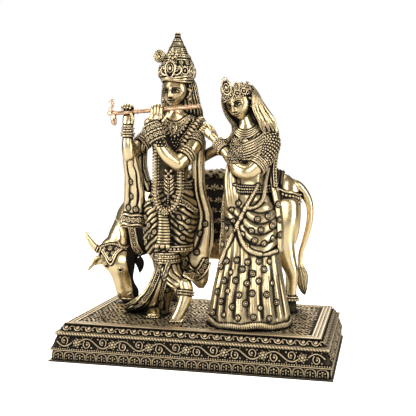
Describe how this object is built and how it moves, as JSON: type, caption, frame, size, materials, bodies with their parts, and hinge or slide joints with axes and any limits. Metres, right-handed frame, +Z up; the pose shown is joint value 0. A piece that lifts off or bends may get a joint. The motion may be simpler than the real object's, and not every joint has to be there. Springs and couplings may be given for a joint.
{
  "type": "radha krishna idol",
  "caption": "Cast brass idol: Krishna plays a flute, Radha leans on his shoulder and a cow grazes behind them, all on a stepped, carved rectangular plinth.",
  "frame": {"origin": "middle of the plinth's flat underside", "axes": "+Z up, +X to the right of someone facing the figures, +Y away from them, from the figures' fronts to the cow"},
  "size_m": [0.3124, 0.2008, 0.3555],
  "materials": {
    "figure_brass": "polished on the high parts, dark brown patina in the recesses",
    "plinth_brass": "antiqued: dark patina with worn, lighter edges",
    "flute_copper": "satin, copper coloured"
  },
  "bodies": {
    "root": {"plinth": "plinth_brass", "krishna": "figure_brass", "flute": "flute_copper", "radha": "figure_brass", "cow": "figure_brass"}
  },
  "joints": []
}
